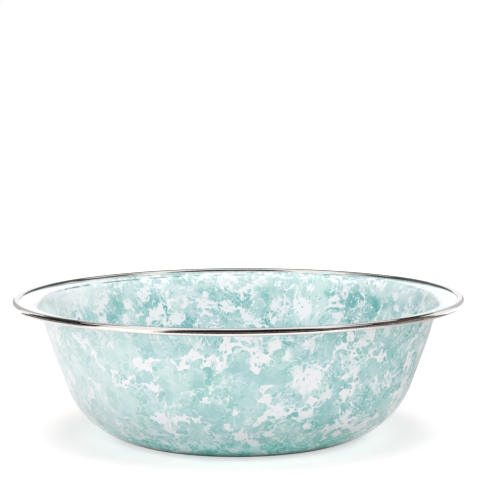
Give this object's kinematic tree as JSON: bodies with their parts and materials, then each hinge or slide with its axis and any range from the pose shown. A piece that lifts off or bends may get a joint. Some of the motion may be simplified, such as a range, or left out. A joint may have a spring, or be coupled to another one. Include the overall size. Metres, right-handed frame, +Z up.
{
  "type": "enamel serving bowl",
  "caption": "Round enamelled steel serving bowl with a flat base, rounded leaning sides, a turned-out lip and a rolled stainless rim.",
  "frame": {"origin": "centre of the base, on the surface that the bowl stands on", "axes": "+Z up along the bowl's axis, the front is towards -Y"},
  "size_m": [0.298, 0.298, 0.092],
  "materials": {
    "pressed_steel": "satin",
    "swirled_enamel": "gloss",
    "polished_stainless": "polished"
  },
  "bodies": {
    "root": {"steel_shell": "pressed_steel", "inner_enamel": "swirled_enamel", "outer_enamel": "swirled_enamel", "rim_band": "polished_stainless"}
  },
  "joints": []
}
